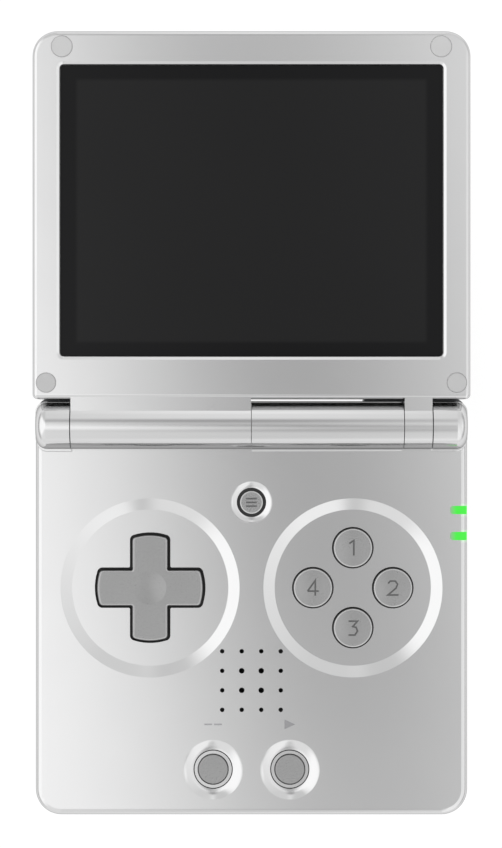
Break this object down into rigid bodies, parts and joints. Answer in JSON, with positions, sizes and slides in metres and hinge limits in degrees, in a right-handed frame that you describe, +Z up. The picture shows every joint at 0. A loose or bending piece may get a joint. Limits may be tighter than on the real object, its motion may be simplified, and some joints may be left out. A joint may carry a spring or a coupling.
{
  "type": "clamshell handheld game console",
  "caption": "Handheld game console with a hinged lid: screen in the lid, cross pad and buttons on the base, speaker grille, shoulder buttons and side ports.",
  "frame": {"origin": "under the hinge axis, on the surface that the base stands on, midway along the hinge, lid flat open", "axes": "+X along the hinge to the right, +Y from the base's front edge to the lid's far edge, +Z up"},
  "size_m": [0.0892, 0.1604, 0.0253],
  "materials": {
    "silver_plastic": "satin metallic silver plastic, fine flake",
    "gray_plastic": "satin mid-gray plastic",
    "dark_plastic": "matte dark plastic",
    "light_pipe": "clear plastic, lit green",
    "black_rubber": "matte black rubber",
    "light_rubber": "matte light-gray rubber",
    "dark_gray_rubber": "matte gray rubber",
    "lens": "polished dark screen cover",
    "display": "dark display panel",
    "steel": "plain steel",
    "screw_steel": "black-zinc steel",
    "board": "green circuit board",
    "cell": "wrapped battery cell",
    "membrane": "silicone rubber",
    "foam": "black foam",
    "cable": "orange flat cable"
  },
  "bodies": {
    "base": {"base_front_cover": "silver_plastic", "base_back_cover": "silver_plastic", "hinge_cap_left": "silver_plastic", "hinge_cap_right": "silver_plastic", "hinge_barrel": "silver_plastic", "battery_cover": "silver_plastic", "headphone_jack": "dark_plastic", "menu_switch": "dark_plastic", "power_switch": "dark_plastic", "volume_switch": "dark_plastic", "shoulder_switches": "dark_plastic", "speaker": "dark_plastic", "power_light_pipe": "light_pipe", "charge_light_pipe": "light_pipe", "rubber_feet": "black_rubber", "usb_port": "steel", "video_port": "steel", "card_slot": "steel", "processor_shield": "steel", "hinge_cartridge": "steel", "hinge_pin": "steel", "shoulder_pins": "steel", "base_screws": "screw_steel", "battery_cover_screw": "screw_steel", "main_board": "board", "battery": "cell", "dpad_membrane": "membrane", "face_button_membrane": "membrane", "start_select_membrane": "membrane", "speaker_gasket": "foam", "display_flex_base": "cable"},
    "lid": {"lid_front_bezel": "silver_plastic", "lid_back_cover": "silver_plastic", "screen_lens": "lens", "lens_tape": "foam", "display_panel": "display", "display_shield": "steel", "lid_screws": "screw_steel", "lid_bumpers_upper": "light_rubber", "lid_bumpers_lower": "dark_gray_rubber", "lid_magnet": "steel", "hinge_cam_shaft": "steel", "display_flex_lid": "cable"},
    "face_button_top": {"face_button_top": "gray_plastic"},
    "face_button_right": {"face_button_right": "gray_plastic"},
    "face_button_bottom": {"face_button_bottom": "gray_plastic"},
    "face_button_left": {"face_button_left": "gray_plastic"},
    "menu_button": {"menu_button": "gray_plastic"},
    "select_button": {"select_button": "gray_plastic"},
    "start_button": {"start_button": "gray_plastic"},
    "shoulder_left_inner": {"shoulder_left_inner": "gray_plastic"},
    "shoulder_left_outer": {"shoulder_left_outer": "gray_plastic"},
    "shoulder_right_inner": {"shoulder_right_inner": "gray_plastic"},
    "shoulder_right_outer": {"shoulder_right_outer": "gray_plastic"},
    "power_button": {"power_button": "gray_plastic"},
    "volume_rocker": {"volume_rocker": "gray_plastic"},
    "dpad": {"dpad": "gray_plastic"},
    "dpad_pivot": {"dpad_pivot": "steel"}
  },
  "joints": [
    {"name": "lid_hinge", "type": "hinge", "parent": "base", "child": "lid", "pos_m": [0, 0, 0.0206], "axis": [1, 0, 0], "range_deg": [0, 180]},
    {"name": "dpad_rock_x", "type": "hinge", "parent": "base", "child": "dpad_pivot", "pos_m": [-0.0209, -0.0334, 0.01175], "axis": [1, 0, 0], "range_deg": [-2.2, 2.2], "stiffness_Nm_per_rad": 0.2, "deforming": ["dpad_membrane"]},
    {"name": "dpad_rock_y", "type": "hinge", "parent": "dpad_pivot", "child": "dpad", "pos_m": [-0.0209, -0.0334, 0.01175], "axis": [0, 1, 0], "range_deg": [-2.2, 2.2], "stiffness_Nm_per_rad": 0.2, "deforming": ["dpad_membrane"]},
    {"name": "face_button_top_press", "type": "slide", "parent": "base", "child": "face_button_top", "axis": [0, 0, -1], "range_m": [0, 0.0008], "stiffness_N_per_m": 1500, "deforming": ["face_button_membrane"]},
    {"name": "face_button_right_press", "type": "slide", "parent": "base", "child": "face_button_right", "axis": [0, 0, -1], "range_m": [0, 0.0008], "stiffness_N_per_m": 1500, "deforming": ["face_button_membrane"]},
    {"name": "face_button_bottom_press", "type": "slide", "parent": "base", "child": "face_button_bottom", "axis": [0, 0, -1], "range_m": [0, 0.0008], "stiffness_N_per_m": 1500, "deforming": ["face_button_membrane"]},
    {"name": "face_button_left_press", "type": "slide", "parent": "base", "child": "face_button_left", "axis": [0, 0, -1], "range_m": [0, 0.0008], "stiffness_N_per_m": 1500, "deforming": ["face_button_membrane"]},
    {"name": "menu_press", "type": "slide", "parent": "base", "child": "menu_button", "axis": [0, 0, -1], "range_m": [0, 0.0003], "stiffness_N_per_m": 4000},
    {"name": "select_press", "type": "slide", "parent": "base", "child": "select_button", "axis": [0, 0, -1], "range_m": [0, 0.0006], "stiffness_N_per_m": 1800, "deforming": ["start_select_membrane"]},
    {"name": "start_press", "type": "slide", "parent": "base", "child": "start_button", "axis": [0, 0, -1], "range_m": [0, 0.0006], "stiffness_N_per_m": 1800, "deforming": ["start_select_membrane"]},
    {"name": "shoulder_left_inner_press", "type": "hinge", "parent": "base", "child": "shoulder_left_inner", "pos_m": [0, 0.0008, 0.0068], "axis": [1, 0, 0], "range_deg": [0, 3], "stiffness_Nm_per_rad": 0.15},
    {"name": "shoulder_left_outer_press", "type": "hinge", "parent": "base", "child": "shoulder_left_outer", "pos_m": [0, 0.0008, 0.0068], "axis": [1, 0, 0], "range_deg": [0, 3], "stiffness_Nm_per_rad": 0.15},
    {"name": "shoulder_right_inner_press", "type": "hinge", "parent": "base", "child": "shoulder_right_inner", "pos_m": [0, 0.0008, 0.0068], "axis": [1, 0, 0], "range_deg": [0, 3], "stiffness_Nm_per_rad": 0.15},
    {"name": "shoulder_right_outer_press", "type": "hinge", "parent": "base", "child": "shoulder_right_outer", "pos_m": [0, 0.0008, 0.0068], "axis": [1, 0, 0], "range_deg": [0, 3], "stiffness_Nm_per_rad": 0.15},
    {"name": "power_press", "type": "slide", "parent": "base", "child": "power_button", "axis": [-1, 0, 0], "range_m": [0, 0.0004], "stiffness_N_per_m": 3000},
    {"name": "volume_rock", "type": "hinge", "parent": "base", "child": "volume_rocker", "pos_m": [-0.0422, -0.027, 0.0111], "axis": [0, 0, 1], "range_deg": [-2, 2], "stiffness_Nm_per_rad": 0.2}
  ]
}
